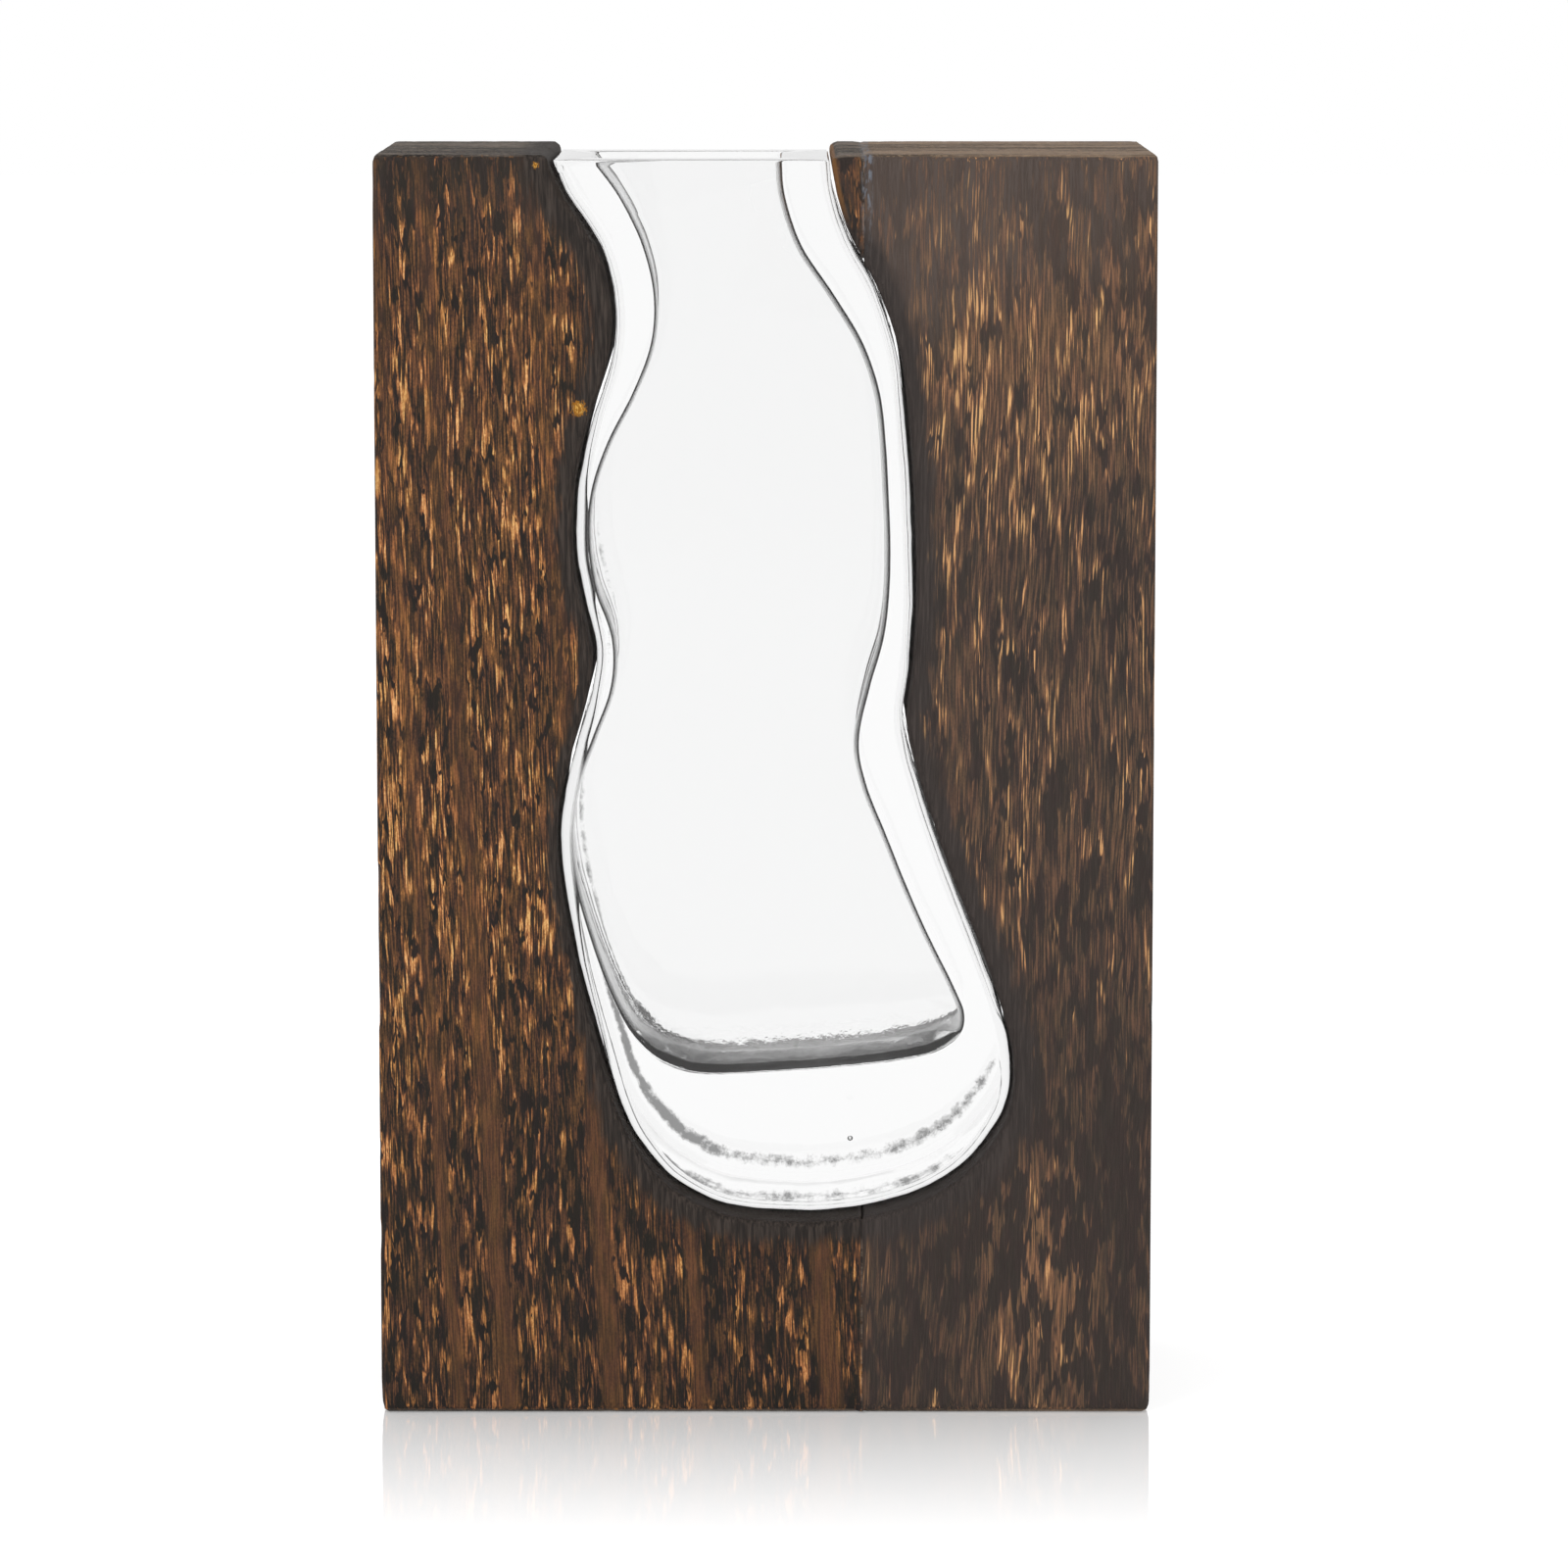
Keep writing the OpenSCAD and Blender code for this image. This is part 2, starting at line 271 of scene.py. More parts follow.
def charred_wood(name, look):
    """Brushed, charred wood. Its fibres run up, with flecks in the char and bands of solid brown."""
    material = bpy.data.materials.new(name)
    s = Shader(material)
    in_mm = s.in_mm()
    place = s.vector("ADD", in_mm, look["shift"])
    x, y, z = s.add("SeparateXYZ", {0: in_mm}).outputs
    share_up = s.spread(z, 0, BLOCK_H)

    # the grain slants down to the right and wavers a little
    warp = s.centred(s.noise(s.stretch(place, 0.03, 0.03, 0.02), 2), look["warp"])
    rings = s.plus(x, s.times(z, look["slant"]))
    rings = s.plus(rings, s.times(s.plus(y, BLOCK_D / 2), 0.35))
    rings = s.plus(rings, warp)
    lean = s.plus(x, s.plus(s.times(z, look["slant"] * 0.4), s.times(warp, 0.6)))
    grain = s.add("CombineXYZ", {0: lean, 1: y, 2: z}).outputs[0]
    grain = s.vector("ADD", grain, look["shift"])
    bands = s.ramp(s.spread(rings, *BAND_SPAN), band_stops(look["bands"]))
    bands = s.times(bands, s.ramp(share_up, look["band_part"]))

    # fibres up the board, from broad to fine, and the grit on them
    strokes = s.noise(s.stretch(grain, *look["stroke"]), 2, 0.6)
    hairs = s.noise(s.stretch(grain, *look["hair"]), 1, 0.5)
    grit = s.noise(s.stretch(grain, 3.2, 3.2, 1.8), 2, 0.6)
    line = s.step(s.plus(s.times(strokes, 0.6), s.times(hairs, 0.4)), *look["line"])
    fine = s.step(hairs, 0.36, 0.66)
    thread = s.times(line, s.step(hairs, *look["thread"]))

    # bright flecks that the fire has left, and black blotches, each fibre a little up or down
    fibre = s.noise(s.stretch(grain, look["fibre"], look["fibre"], 0.02), 1)
    lift = s.add("CombineXYZ", {2: s.centred(fibre, look["ragged"])}).outputs[0]
    lifted = s.vector("ADD", grain, lift)
    cover = s.ramp(share_up, look["cover"])
    broad = s.noise(s.stretch(grain, 0.06, 0.06, 0.022), 2, 0.5)
    shade = s.plus(s.times(s.rest(cover), 0.2), s.centred(broad, look["broad"]))
    patches = s.noise(s.stretch(lifted, *look["patch"]), 2, 0.55)
    lit = s.step(s.maths("SUBTRACT", patches, shade), look["open"], look["open"] + 0.1)
    dark = s.noise(s.stretch(s.vector("ADD", lifted, (31.0, 17.0, 53.0)), *look["hole"]), 2, 0.5)
    dark = s.step(s.plus(dark, shade), look["shut"], look["shut"] + 0.06)

    # level picks the tone: 0 is black char and 1 the palest wood
    level = s.plus(s.times(line, look["line_part"]), s.times(fine, look["hair_part"]))
    level = s.plus(level, s.centred(grit, look["grit_part"]))
    level = s.times(level, s.spread(cover, 0, 1, 0.3, 1.0))
    level = s.plus(level, s.times(lit, s.spread(thread, 0, 1, *look["lit_part"])))
    rise = s.ramp(share_up, look["rise"])
    level = s.plus(level, rise)
    for at, reach, amount in look["pale"]:
        gap = s.vector("SUBTRACT", s.vector("ADD", in_mm, lift), at)
        gap = s.vector("DIVIDE", gap, reach)
        gap = s.add("VectorMath", {0: gap}, operation="LENGTH").outputs["Value"]
        paler = s.spread(line, 0, 1, amount * 0.7, amount * 1.3)
        level = s.plus(level, s.times(s.rest(s.step(gap, 0.4, 1.1)), paler))
    soot = s.plus(s.times(rise, look["soot"]), s.times(fine, 0.08))
    level = s.plus(s.times(level, s.rest(dark)), s.times(soot, dark))
    solid = s.plus(look["band"], s.plus(s.times(fine, 0.14), s.centred(grit, 0.25)))
    level = s.plus(s.times(level, s.rest(bands)), s.times(solid, bands))
    tint = s.step(s.noise(s.stretch(grain, 0.5, 0.5, 0.12), 2, 0.6), 0.4, 0.6)
    tint = s.mix(tint, look["warm"], look["olive"])
    colour = s.vector("MULTIPLY", s.ramp(level, look["tones"]), tint)

    # a film of char over the top of the front, which may end higher towards the right
    ragged = s.noise(s.stretch(lifted, 0.08, 0.08, 0.03), 3, 0.6)
    film_z = s.plus(z, s.centred(ragged, 50.0))
    fall = s.times(s.maths("SUBTRACT", x, FILM_X), look["film_rise"])
    film = s.ramp(s.spread(s.maths("SUBTRACT", film_z, fall), 0, BLOCK_H), look["film"])
    film = s.times(film, s.spread(line, 0, 1, 1.0, 0.5))
    colour = s.mix(film, colour, look["film_tone"])

    # end grain on the top and the base: drawn-out lines left to right
    normal = s.add("SeparateXYZ", {0: s.add("NewGeometry").outputs["Normal"]}).outputs
    up = s.maths("ABSOLUTE", normal[2])
    lines = s.noise(s.stretch(place, 0.014, 0.12, 0.35), 5, 0.7)
    end = s.mix(s.step(lines, 0.42, 0.58), look["end_dark"], look["end"])
    specks = s.step(s.noise(s.stretch(place, 0.9, 2.5, 2), 2), 0.5, 0.65)
    end = s.mix(s.times(specks, 0.5), end, look["end_light"])
    colour = s.mix(s.step(up, 0.45, 0.8), colour, end)

    # wear with a painted highlight along the outer edges, and char with painted shade round the glass
    scuffs = s.noise(s.stretch(place, 0.5, 0.5, 0.09), 3)
    wear_and_highlight = s.plus(s.layer("edge"), s.times(scuffs, look["wear_and_highlight"]))
    # the edge tone is the paler wood of worn edges, with a painted highlight along them
    colour = s.mix(s.step(wear_and_highlight, 1.38, 1.55), colour, look["edge"])
    # near the glass and on the cut's walls the wood is darkened: char, with painted shade of the gap
    # and the recess round the glass
    from_glass = s.layer("near_glass")
    uneven = s.centred(s.noise(s.stretch(place, 0.4, 0.4, 0.12), 3), 6.0)
    reach = s.times(s.ramp(share_up, look["char_and_shade"]), 10.0)
    near = s.maths("DIVIDE", s.plus(from_glass, uneven), reach)
    char = s.mix(s.step(strokes, 0.3, 0.75), look["char_and_shade_dark"], look["char_and_shade_light"])
    colour = s.mix(s.rest(s.step(near, 0.5, 1.2)), colour, char)

    # a lip of another tone along the cut near the rim, and traces of glue along the joint there
    lip = s.times(s.step(z, 238, 246), s.rest(s.step(from_glass, 0.6, 1.3)))
    colour = s.mix(s.times(lip, 0.8), colour, look["lip"])
    off_joint = s.maths("ABSOLUTE", s.maths("SUBTRACT", x, JOINT_X + 0.6))
    glue = s.times(s.step(z, 232, 250), s.rest(s.step(off_joint, 0.5, 1.4)))
    marks = s.step(s.noise(s.stretch(in_mm, 1.4, 1.0, 0.45), 3, 0.6), 0.46, 0.62)
    colour = s.mix(s.times(glue, marks), colour, GLUE_TONE)

    # flecks of amber resin
    for at, radius in look["resin"]:
        gap = s.add("VectorMath", {0: in_mm, 1: at}, operation="DISTANCE").outputs["Value"]
        gap = s.plus(gap, s.centred(grit, radius * 2.5))
        amber = s.mix(s.step(grit, 0.45, 0.6), *RESIN_TONES)
        colour = s.mix(s.rest(s.step(gap, radius * 0.7, radius)), colour, amber)

    height = s.plus(line, s.times(grit, 0.6))
    bump = s.add("Bump", {"Height": height, "Strength": 0.5, "Distance": 0.4 * MM}).outputs["Normal"]
    rough = s.spread(level, 0, 1, 0.62, 0.85)
    inputs = {"Base Color": colour, "Roughness": rough, "Normal": bump, "Specular IOR Level": 0.12}
    s.out(s.add("BsdfPrincipled", inputs).outputs[0])
    return material


# What the looks hold. shift, slant, warp: where the grain starts, and how it leans and wavers.
# stroke, hair, line, thread: the fibres. fibre, ragged: how far the flecks' ends are out of line.
# patch, open, lit_part: the bright flecks. hole, shut, soot: the blotches. broad: their clusters.
# line_part, hair_part, grit_part, rise, cover, tones: the level and its tones. pale: paler places.
# bands, band_part, band: solid bands. film, lip, end, resin: the finish. smoke, char_and_shade_dark,
# char_and_shade_light: char with painted shade round the glass. edge, worn: wear with a painted
# highlight along the outer edges. A list of pairs is a ramp up the block, from 0 at its foot to 1 at
# its top.
LEFT_LOOK = {
    "shift": (11.0, 5.0, 3.0), "slant": 0.065, "warp": 3.5, "fibre": 1.3, "ragged": 8.0,
    "bands": [(-61.8, 1.2), (-51.8, 1.8), (-30.5, 1.8), (-12.7, 1.4), (13.6, 2.2), (60.0, 3.0)],
    "band_part": [(0.0, 1.0), (0.22, 1.0), (0.4, 0.6), (1.0, 0.55)],
    "stroke": (1.9, 1.9, 0.14), "hair": (3.2, 3.2, 0.15), "line": (0.42, 0.57), "broad": 0.25,
    "patch": (0.66, 0.66, 0.14), "open": 0.48, "hole": (0.75, 0.75, 0.26), "shut": 0.58,
    "line_part": 0.22, "hair_part": 0.22, "lit_part": (0.04, 0.42), "grit_part": 0.5,
    "rise": [(0.0, 0.05), (0.22, 0.07), (0.34, 0.11), (1.0, 0.11)], "soot": 0.3, "band": 0.34,
    # a range that lies below every hair, so that the left board's flecks aren't thinned
    "thread": (-1.0, 0.0),
    "cover": [(0.0, 0.84), (0.2, 0.86), (0.3, 1.0), (0.8, 1.0), (0.94, 0.92), (1.0, 0.5)],
    "tones": [
        (0.0, tone(34, 32, 31)), (0.15, tone(45, 39, 36)), (0.32, tone(71, 53, 43)),
        (0.5, tone(103, 73, 51)), (0.68, tone(139, 94, 60)), (0.84, tone(182, 126, 78)),
        (1.0, tone(226, 178, 118)),
    ],
    "warm": (1.06, 0.98, 0.98, 1), "olive": (1.0, 1.0, 0.9, 1),
    "end": tone(104, 94, 86), "end_dark": tone(44, 40, 37), "end_light": tone(140, 122, 104),
    "edge": tone(176, 120, 62), "wear_and_highlight": 0.8,
    "char_and_shade": [(0.0, 0.5), (0.2, 0.5), (0.35, 0.26), (0.6, 0.3), (0.75, 0.45), (1.0, 0.75)],
    "char_and_shade_dark": tone(40, 36, 34), "char_and_shade_light": tone(70, 62, 57), "lip": tone(48, 42, 38),
    "film": [(0.0, 0.0), (0.9, 0.0), (1.0, 0.25)], "film_tone": tone(80, 70, 64), "film_rise": 0.0,
    "pale": [], "resin": [((-36.9, -37.5, 203.0), 1.6), ((-45.3, -37.5, 251.0), 0.7)],
}
RIGHT_LOOK = {
    "shift": (71.0, 35.0, 23.0), "slant": -0.03, "warp": 6.0, "fibre": 1.6, "ragged": 12.0,
    "bands": [(34.0, 3.0), (58.0, 2.2)],
    "band_part": [(0.0, 0.0), (0.4, 0.0), (0.55, 0.4), (0.7, 0.0)],
    "stroke": (2.7, 2.7, 0.12), "hair": (3.3, 3.3, 0.12), "line": (0.42, 0.58), "broad": 0.3,
    "thread": (0.46, 0.6), "patch": (0.4, 0.4, 0.07), "open": 0.48,
    "hole": (0.45, 0.45, 0.14), "shut": 0.56,
    "line_part": 0.2, "hair_part": 0.2, "lit_part": (0.02, 0.46), "grit_part": 0.25,
    "rise": [
        (0.0, 0.2), (0.35, 0.17), (0.6, 0.14), (0.72, 0.15), (0.84, 0.28), (0.93, 0.3), (1.0, 0.28),
    ],
    "soot": 0.75, "band": 0.36,
    "cover": [
        (0.0, 0.5), (0.25, 0.45), (0.42, 0.8), (0.55, 1.0), (0.66, 0.8), (0.74, 0.85), (0.84, 1.0),
        (0.97, 0.7),
    ],
    "tones": [
        (0.0, tone(43, 40, 39)), (0.2, tone(61, 54, 51)), (0.35, tone(81, 67, 58)),
        (0.5, tone(106, 82, 66)), (0.68, tone(138, 104, 78)), (0.84, tone(176, 132, 92)),
        (1.0, tone(215, 168, 116)),
    ],
    "warm": (1.06, 0.99, 0.98, 1), "olive": (1.0, 1.0, 0.96, 1),
    "end": tone(136, 116, 98), "end_dark": tone(84, 72, 62), "end_light": tone(166, 142, 116),
    "edge": tone(120, 86, 60), "wear_and_highlight": 0.7,
    "char_and_shade": [(0.0, 0.7), (0.3, 0.6), (0.5, 0.5), (1.0, 0.5)],
    "char_and_shade_dark": tone(54, 49, 47), "char_and_shade_light": tone(70, 63, 60), "lip": tone(60, 54, 50),
    "film": [(0.0, 0.0), (0.82, 0.0), (0.88, 0.7), (0.93, 0.95), (1.0, 0.95)],
    "film_tone": tone(86, 76, 71), "film_rise": 0.5,
    "pale": [((56.0, -37.5, 26.0), (14.0, 40.0, 34.0), 0.2)], "resin": [],
}
NECK_LOOK = dict(
    LEFT_LOOK, char_and_shade=[(0.0, 0.15), (1.0, 0.15)], bands=[(5.0, 1.0)], rise=[(0.0, 0.2), (1.0, 0.2)],
    lip=tone(128, 90, 55), resin=[],
)


def clear_glass():
    """Clear glass. What shows in it comes from its shape."""
    material = bpy.data.materials.new("clear_glass")
    s = Shader(material)
    in_mm = s.in_mm()
    waves = s.noise(s.stretch(in_mm, 0.13, 0.13, 0.07), 2, 0.4)
    # a ribbon on the back face, where the glass lay in the mould, is mottled grey in places
    cast = s.layer("cast")
    blotch = s.noise(s.stretch(in_mm, 0.4, 0.5, 0.4), 5, 0.72)
    grit = s.noise(s.stretch(in_mm, 2.2, 1.6, 2.2), 2, 0.6)
    mottle = s.plus(cast, s.plus(s.centred(blotch, 2.0), s.centred(grit, 0.4)))
    mottle = s.times(s.step(mottle, 0.35, 1.05), s.step(cast, 0.0, 0.25))
    # the floor of the hollow is wavier than the rest
    wash = s.noise(s.stretch(in_mm, 0.35, 0.2, 0.35), 4, 0.6)
    height = s.plus(s.times(waves, 0.036), s.times(mottle, 0.1))
    height = s.plus(height, s.times(s.times(wash, s.layer("wavy")), 0.16))
    bump = s.add("Bump", {"Height": height, "Strength": 1.0, "Distance": MM}).outputs["Normal"]
    colour = s.mix(mottle, (0.95, 0.951, 0.951, 1), (0.07, 0.07, 0.07, 1))
    inputs = {"Base Color": colour, "Roughness": s.times(mottle, 0.3), "Normal": bump}
    inputs.update({"IOR": 1.5, "Transmission Weight": 1.0})
    s.out(s.add("BsdfPrincipled", inputs).outputs[0])
    return material


# The vase.
def rounded_profile(depth, r, chords=None, bevel=None, insets=()):
    """How far in from the outline, and how far back, for a solid with rounded edges. With chords,
    the edges follow them along three flats instead of a round. With a bevel, the back edge is one
    flat. With insets, the profile ends on a strip of the back face."""
    a = np.linspace(0, math.pi / 2, EDGE_STEPS + 1)
    front = np.c_[r * (1 - np.sin(a)), r * (1 - np.cos(a)) - depth / 2]
    if chords:
        corners = front[:: EDGE_STEPS // 3]
        front = np.c_[tuple(np.interp(chords, range(4), column) for column in corners.T)]
    back = front[::-1] * (1, -1)
    if bevel:
        t = np.linspace(0, 1, EDGE_STEPS + 1)
        back = np.c_[t * bevel[0], depth / 2 - (1 - t) * bevel[1]]
    # both profiles need as many points, because the rim joins them point by point
    steps = SIDE_STEPS + len(BACK_INSETS) - len(insets)
    side = np.linspace(front[-1, 1], back[0, 1], steps)[1:-1]
    # a last point just short of the back edge keeps that edge crisp
    side = np.append(side, back[0, 1] - 0.2)
    middle = np.c_[np.zeros(len(side)), side]
    strip = np.array([(back[-1, 0] + inset, depth / 2) for inset in insets]).reshape(-1, 2)
    return np.vstack([front, middle, back, strip])


def skin(path, profiles, level):
    """A grid of points: one profile at each point of a path."""
    into = inward(path, level)
    grid = np.zeros((len(path), len(profiles[0]), 3))
    for i, profile in enumerate(profiles):
        grid[i, :, 0] = path[i, 0] + into[i, 0] * profile[:, 0]
        grid[i, :, 1] = profile[:, 1]
        grid[i, :, 2] = path[i, 1] + into[i, 1] * profile[:, 0]
    return grid, into


def vase_skins(steps):
    """The outline, grids of points for the outside and the hollow, and how much each of the
    hollow's rows belongs to its floor."""
    base_z = RIM_Z - VASE_H
    outer_path = smooth(VASE_SHARES, steps) * (VASE_W, VASE_H) + (VASE_SHIFT, base_z)
    hollow_w = VASE_W - LEFT_WALL - RIGHT_WALL
    hollow_path = smooth(HOLLOW_SHARES, steps) * (hollow_w, VASE_H - FLOOR_WALL)
    hollow_path = hollow_path + (VASE_SHIFT + (LEFT_WALL - RIGHT_WALL) / 2, base_z + FLOOR_WALL)
    level = 2 * steps
    # the rows next to the rim's own are left out, because they would lie inside its bevel
    row_path = np.delete(outer_path, (1, len(outer_path) - 2), axis=0)
    # the mottled rings lie further in along the foot than up the sides
    reach = 0.45 + 0.55 * ease(inward(row_path, level)[:, 1], 0, 0.9)
    outer_profiles = [
        rounded_profile(VASE_D, VASE_EDGE_R, bevel=BACK_BEVEL, insets=np.array(BACK_INSETS) * part)
        for part in reach
    ]
    outer, outer_in = skin(row_path, outer_profiles, level)
    floor_part = np.maximum(inward(hollow_path, level)[:, 1], 0)
    side_r = np.linspace(*HOLLOW_SIDE_R, len(hollow_path))
    radii = side_r + (HOLLOW_FLOOR_R - side_r) * ease(floor_part, 0.3, 1.0)
    hollow_d = VASE_D - 2 * FACE_WALL
    # the hollow's edge is round up the sides, and turns into three soft-cornered flats on the floor
    on_floor = ease(floor_part, 0.35, 0.75)
    inner_profiles = [
        (1 - part) * rounded_profile(hollow_d, r) + part * rounded_profile(hollow_d, r, FLOOR_CHORDS)
        for part, r in zip(on_floor, radii)
    ]
    inner, inner_in = skin(hollow_path, inner_profiles, level)

    # slight ripples where the glass was cast against its mould
    for grid, into, amount, seed in ((outer, outer_in, 0.35, 5), (inner, inner_in, 0.12, 9)):
        flat = grid.reshape(-1, 3)
        ripple = noise(flat * (0.22, 0.1, 0.22), seed) * 0.6
        ripple += noise(flat * (0.55, 0.3, 0.55), seed + 1) * 0.4
        depth = abs(flat[:, 1]).max() - abs(flat[:, 1])
        ripple *= amount * ease(depth, 0, 1.5) * ease(RIM_Z - flat[:, 2], 0, 6)
        push = np.repeat(into, grid.shape[1], axis=0) * ripple[:, None]
        flat[:, 0] += push[:, 0]
        flat[:, 2] += push[:, 1]
    return outer_path, outer, inner, on_floor


def vase_mesh():
    """One closed solid: the outside, the hollow turned inside out, the rim and the bubbles."""
    steps = 8
    outer_path, outer, inner, on_floor = vase_skins(steps)
    b = bmesh.new()
    cast = b.verts.layers.float.new("cast")
    wavy = b.verts.layers.float.new("wavy")

    def rows(grid):
        return [[b.verts.new(p * MM) for p in row] for row in grid]

    def wrap(grid, flip):
        for i in range(len(grid) - 1):
            for j in range(len(grid[0]) - 1):
                face = (grid[i][j], grid[i][j + 1], grid[i + 1][j + 1], grid[i + 1][j])
                b.faces.new(face[::-1] if flip else face)
        for face in ([row[0] for row in grid], [row[-1] for row in grid][::-1]):
            b.faces.new(face[::-1] if flip else face)

    outer_rows, inner_rows = rows(outer), rows(inner)
    shares = np.array(MOTTLED_EDGE)
    for i, row in enumerate(outer_rows):
        amount = np.interp((i + 1) / steps, shares[:, 0], shares[:, 1])
        for v, part in zip(row[-len(RING_MOTTLE):], RING_MOTTLE):
            v[cast] = amount * part
    for part, row in zip(on_floor, inner_rows):
        for v in row[:-1]:
            v[wavy] = part
    wrap(outer_rows, False)
    wrap(inner_rows, True)
    outer_rim = outer_rows[0] + outer_rows[-1][::-1]
    inner_rim = inner_rows[0] + inner_rows[-1][::-1]
    for k in range(len(outer_rim)):
        n = (k + 1) % len(outer_rim)
        b.faces.new((outer_rim[k], inner_rim[k], inner_rim[n], outer_rim[n]))
    b.normal_update()
    # the rim's edges are fire-polished
    rim_edges = []
    for ring in (outer_rim, inner_rim):
        for k in range(len(ring)):
            rim_edges.append(b.edges.get((ring[k], ring[(k + 1) % len(ring)])))
    bmesh.ops.bevel(b, geom=rim_edges, offset=RIM_BEVEL * MM, segments=3, profile=0.5, affect="EDGES")
    for x, y, z, r in BUBBLES:
        bubble = bmesh.ops.create_icosphere(b, subdivisions=3, radius=r * MM)
        bmesh.ops.translate(b, verts=bubble["verts"], vec=(x * MM, y * MM, z * MM))
        inside = list({f for v in bubble["verts"] for f in v.link_faces})
        bmesh.ops.reverse_faces(b, faces=inside)
    bmesh.ops.triangulate(b, faces=[f for f in b.faces if len(f.verts) > 4])
    # everything is shaded smooth but the plain middle of the back face
    for f in b.faces:
        on_back = f.calc_center_median().y > 0.999 * VASE_D / 2 * MM
        f.smooth = not (on_back and len(f.verts) == 3)
    mesh = bpy.data.meshes.new("glass_vase_clear")
    b.to_mesh(mesh)
    b.free()
    mesh.set_sharp_from_angle(angle=math.radians(40))
    return mesh, outer_path


vase_data, outline = vase_mesh()
vase = new_object("glass_vase_clear", vase_data)
vase_data.materials.append(clear_glass())
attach(vase, "vase")
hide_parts("glass_vase")


# The boards.
def near_outline(points):
    """Distance in mm from each point to the vase's outline, seen from the front."""
    flat = points[:, [0, 2]]
    path = outline[::3]
    best = np.full(len(flat), 1e9)
    for a, b in zip(path[:-1], path[1:]):
        d = b - a
        t = np.clip(((flat - a) @ d) / (d @ d), 0, 1)
        gap = flat - a - t[:, None] * d
        best = np.minimum(best, (gap ** 2).sum(1))
    return np.sqrt(best)


def wood_piece(node, material, voxel, seed):
    """The CAD board with its cut edges eased, and worn and brushed along the grain."""
    low, high = (np.array(c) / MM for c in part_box(node))
    b = bmesh.new()
    b.from_mesh(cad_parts[node].data)
    bmesh.ops.remove_doubles(b, verts=b.verts, dist=1e-6)
    face_y = BLOCK_D / 2 * MM
    cut = []
    for e in b.edges:
        on_face = all(abs(abs(v.co.y) - face_y) < 1e-6 for v in e.verts)
        if on_face and len(e.link_faces) == 2:
            ys = sorted(abs(f.normal.y) for f in e.link_faces)
            middle = (e.verts[0].co + e.verts[1].co) / 2 / MM
            inside = near_outline(np.array([middle]))[0] < 1.5 and middle.x not in (low[0], high[0])
            if ys[0] < 0.1 and ys[1] > 0.9 and inside:
                cut.append(e)
    bmesh.ops.bevel(b, geom=cut, offset=CUT_BEVEL * MM, segments=4, profile=0.5, affect="EDGES")
    mesh = bpy.data.meshes.new(node + "_blank")
    b.to_mesh(mesh)
    b.free()
    blank = new_object(node + "_blank", mesh)
    remesh = blank.modifiers.new("remesh", "REMESH")
    remesh.mode = "VOXEL"
    remesh.voxel_size = voxel * MM
    ready = blank.evaluated_get(bpy.context.evaluated_depsgraph_get())
    made = bpy.data.meshes.new_from_object(ready)
    bpy.data.objects.remove(blank)

    count = len(made.vertices)
    co = np.zeros(count * 3, np.float32)
    made.vertices.foreach_get("co", co)
    co = np.clip(co.reshape(-1, 3).astype(float) / MM, low, high)
    normal = np.zeros(count * 3, np.float32)
    made.vertex_normals.foreach_get("vector", normal)
    normal = normal.reshape(-1, 3).astype(float)

    away = near_outline(co) - FIT_GAP
    # how close each point is to the block's outer edges: 1 where two of its faces meet
    block = np.array([[-BLOCK_W / 2, -BLOCK_D / 2, 0.0], [BLOCK_W / 2, BLOCK_D / 2, BLOCK_H]])
    to_face = np.sort(np.minimum(co - block[0], block[1] - co), axis=1)
    edge = np.exp(-((to_face[:, 1] / 2.2) ** 2))
    grooves = noise(co * (0.75, 0.75, 0.04), seed)
    dents = noise(co * (0.09, 0.09, 0.05), seed + 1)
    chips = ease(noise(co * (0.32, 0.32, 0.11), seed + 2), 0.66, 0.9)
    # the outer edges keep their full size but for chips, and the foot stays flat
    depth = 0.16 * ease(grooves, 0.5, 0.8) + 0.1 * dents
    depth += edge * (0.45 * chips - 0.4 * ease(co[:, 2], 2, 9))
    depth *= ease(co[:, 2], 0.0, 1.2) * 0.85 + 0.15
    # the boards meet flush at the glue joint, with their corners there 0.2 mm in
    joint = abs(co[:, 0] - JOINT_X) < voxel
    for axis, face in ((1, -BLOCK_D / 2), (1, BLOCK_D / 2), (2, 0.0), (2, BLOCK_H)):
        corner = joint & (abs(co[:, axis] - face) < voxel)
        co[corner, 0] = JOINT_X
        co[corner, axis] = face - np.sign(face - 1) * 0.2
    depth[joint] = 0
    co = np.clip(co - normal * depth[:, None], low, high)
    made.vertices.foreach_set("co", (co * MM).astype(np.float32).ravel())
    for label, values in (("near_glass", away), ("edge", edge)):
        layer = made.attributes.new(label, "FLOAT", "POINT")
        layer.data.foreach_set("value", values.astype(np.float32))
    made.shade_smooth()
    made.name = node + "_wood"
    made.materials.clear()
    made.materials.append(material)
    piece = new_object(node + "_wood", made)
    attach(piece, "block")
    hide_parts(node)
    return piece


left_wood = charred_wood("left_wood", LEFT_LOOK)
right_wood = charred_wood("right_wood", RIGHT_LOOK)
neck_wood = charred_wood("neck_wood", NECK_LOOK)
voxel = 0.8
for node, material, slot_name, seed in (
    ("left_board", left_wood, "left_wood", 21),
    ("right_board", right_wood, "right_wood", 57),
    ("neck_strip", neck_wood, "left_wood", 83),
):
    wood_piece(node, material, voxel, seed)


# Floor, light and camera.
def white_rays(s):
    """1 where a ray from the camera, a mirror or the glass looks at a surface, else 0."""
    path = s.add("LightPath").outputs
    seen = s.maths("MAXIMUM", path["Is Camera Ray"], path["Is Glossy Ray"])
    return s.maths("MAXIMUM", seen, path["Is Transmission Ray"])


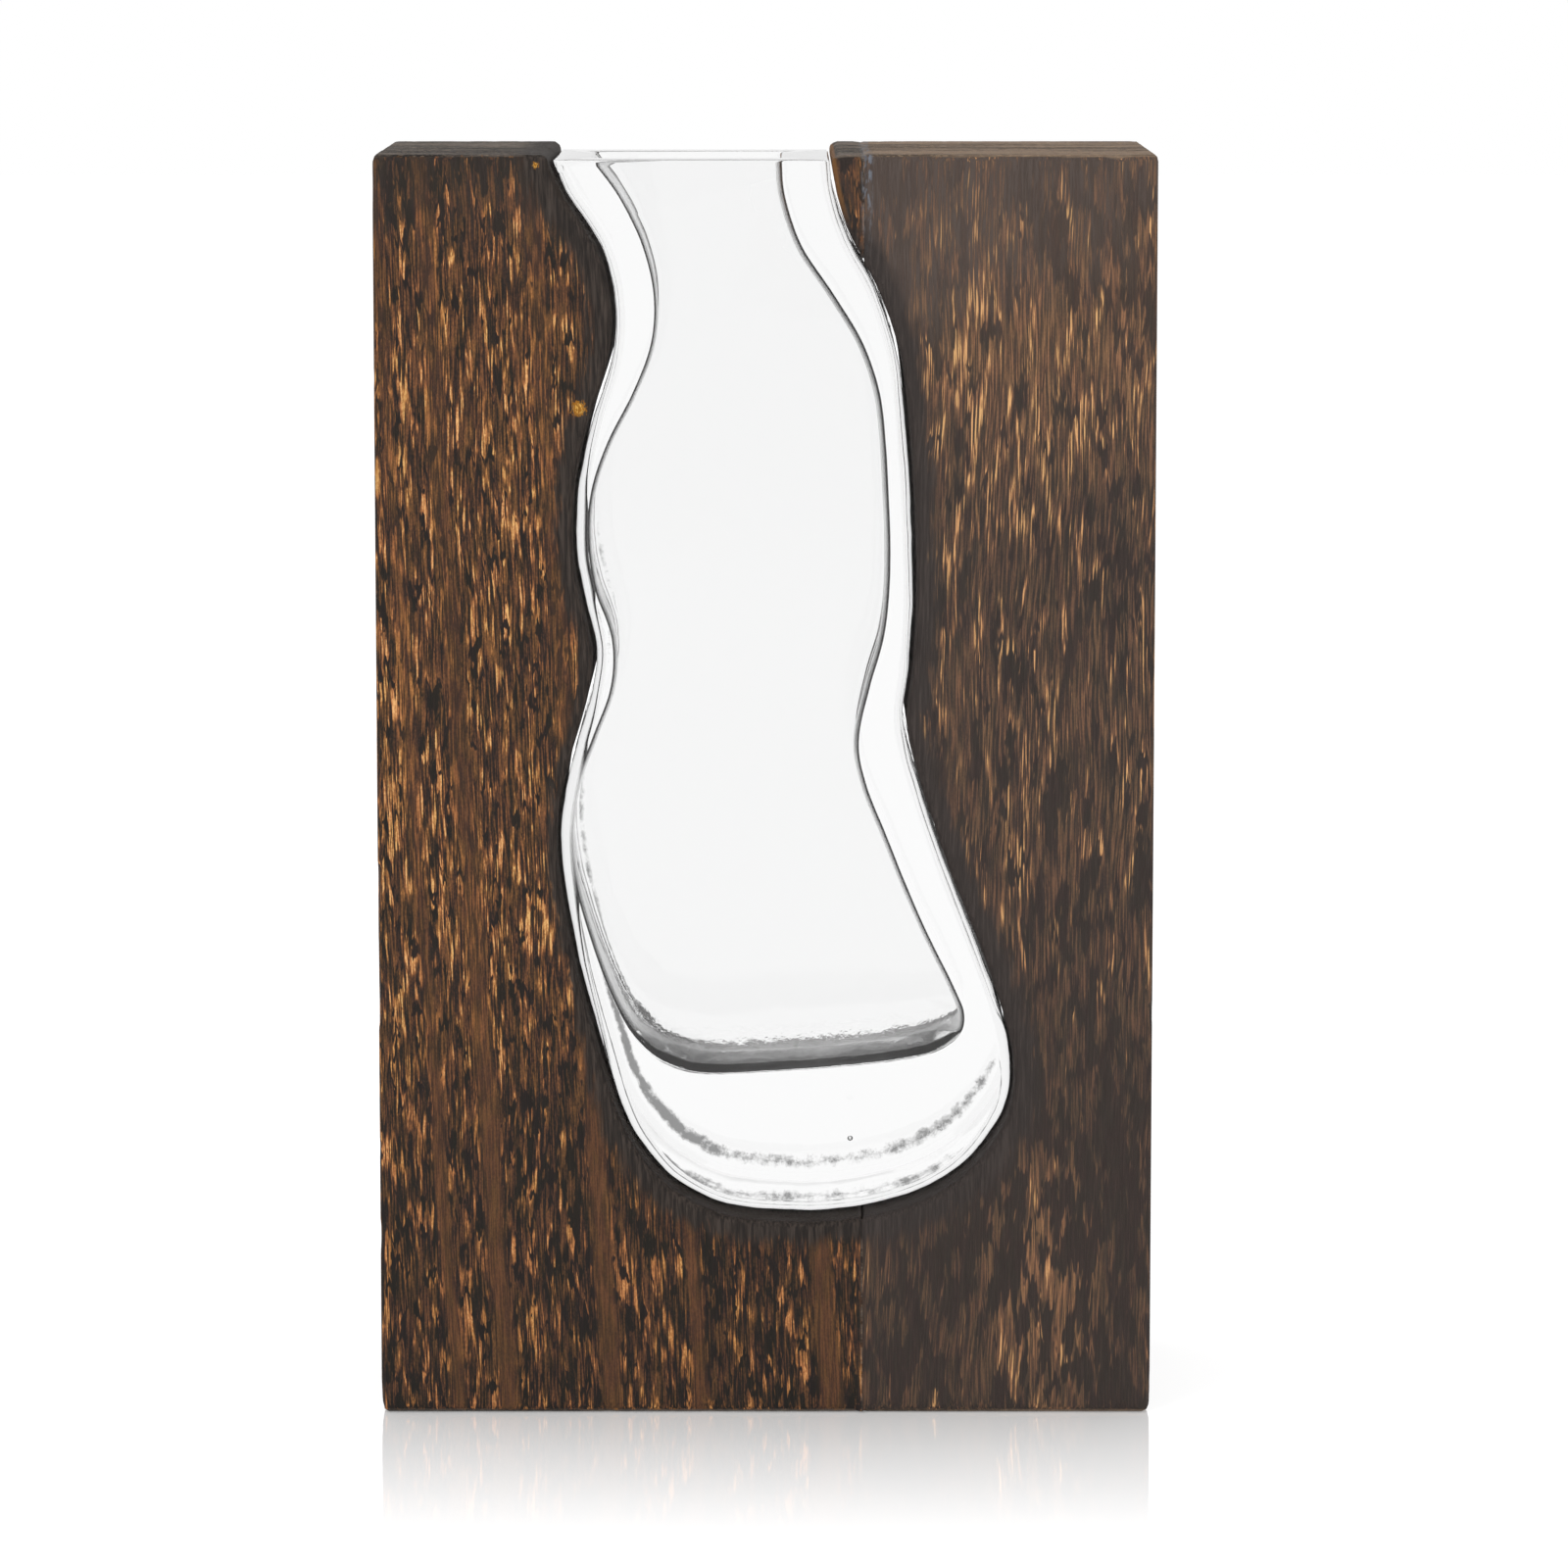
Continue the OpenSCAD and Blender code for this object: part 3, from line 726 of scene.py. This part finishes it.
def floor_material():
    """A white sweep that keeps a soft shadow and mirrors the foot of the block faintly."""
    material = bpy.data.materials.new("floor")
    s = Shader(material)
    x, y, _ = s.add("SeparateXYZ", {0: s.add("TexCoord").outputs["Object"]}).outputs
    beyond_x = s.maths("SUBTRACT", s.maths("ABSOLUTE", x), BLOCK_W / 2 * MM)
    beyond_y = s.maths("SUBTRACT", s.maths("ABSOLUTE", y), BLOCK_D / 2 * MM)
    distance = s.maths("MAXIMUM", s.maths("MAXIMUM", beyond_x, beyond_y), 0.0)
    fade = s.spread(distance, 0.0, 0.12, 0.53, 0.14)
    matt = s.add("BsdfDiffuse", {"Color": (0.88, 0.88, 0.88, 1)}).outputs[0]
    glow = s.add("Emission", {"Color": (1, 1, 1, 1), "Strength": 0.5}).outputs[0]
    bright = s.add("AddShader", {0: matt, 1: glow}).outputs[0]
    path = s.add("LightPath").outputs
    plain = s.add("Emission", {"Color": (1, 1, 1, 1), "Strength": 1.0}).outputs[0]
    bright = s.add("MixShader", {0: path["Is Transmission Ray"], 1: bright, 2: plain}).outputs[0]
    mirror = s.add("BsdfGlossy", {"Color": (1, 1, 1, 1), "Roughness": 0.03}).outputs[0]
    seen = s.add("MixShader", {0: fade, 1: bright, 2: mirror}).outputs[0]
    s.out(s.add("MixShader", {0: white_rays(s), 1: matt, 2: seen}).outputs[0])
    return material


floor_data = bpy.data.meshes.new("floor")
floor_data.from_pydata([(-6, -6, 0), (6, -6, 0), (6, 6, 0), (-6, 6, 0)], [], [(0, 1, 2, 3)])
floor_data.materials.append(floor_material())
floor = new_object("floor", floor_data)
floor.location.z = -0.0001

world = bpy.data.worlds.new("studio")
scene.world = world
sky = Shader(world)
strength = sky.spread(white_rays(sky), 0, 1, 0.72, 1.0)
background = sky.add("Background", {"Color": (1, 1, 1, 1), "Strength": strength}).outputs[0]
sky.add("OutputWorld", {"Surface": background})


def lamp(name, place, aim, size, power):
    """A round soft light, unseen in mirrors and through glass."""
    data = bpy.data.lights.new(name, "AREA")
    data.shape = "DISK"
    data.size = size
    data.energy = power
    made = new_object(name, data)
    made.location = place
    direction = np.array(aim, float) - place
    tilt = math.atan2(math.hypot(direction[0], direction[1]), -direction[2])
    turn = math.atan2(direction[1], direction[0]) - math.pi / 2
    made.rotation_euler = (tilt, 0, turn)
    made.visible_glossy = made.visible_transmission = False


block_middle = (0, 0, 0.13)
lamp("key", (-0.9, -1.1, 1.1), block_middle, 0.9, 9)
lamp("fill", (1.1, -0.9, 0.6), block_middle, 1.0, 5)

# a long lens, looking down a little, as the block's top and sides in the photo ask for
camera_data = bpy.data.cameras.new("camera")
camera_data.sensor_width = 36
camera_data.lens = 155.25
camera = new_object("camera", camera_data)
camera.location = (0.0037, -1.3742, 0.304)
camera.rotation_euler = (math.radians(82.5), 0, 0)
scene.camera = camera

scene.view_settings.view_transform = "Standard"
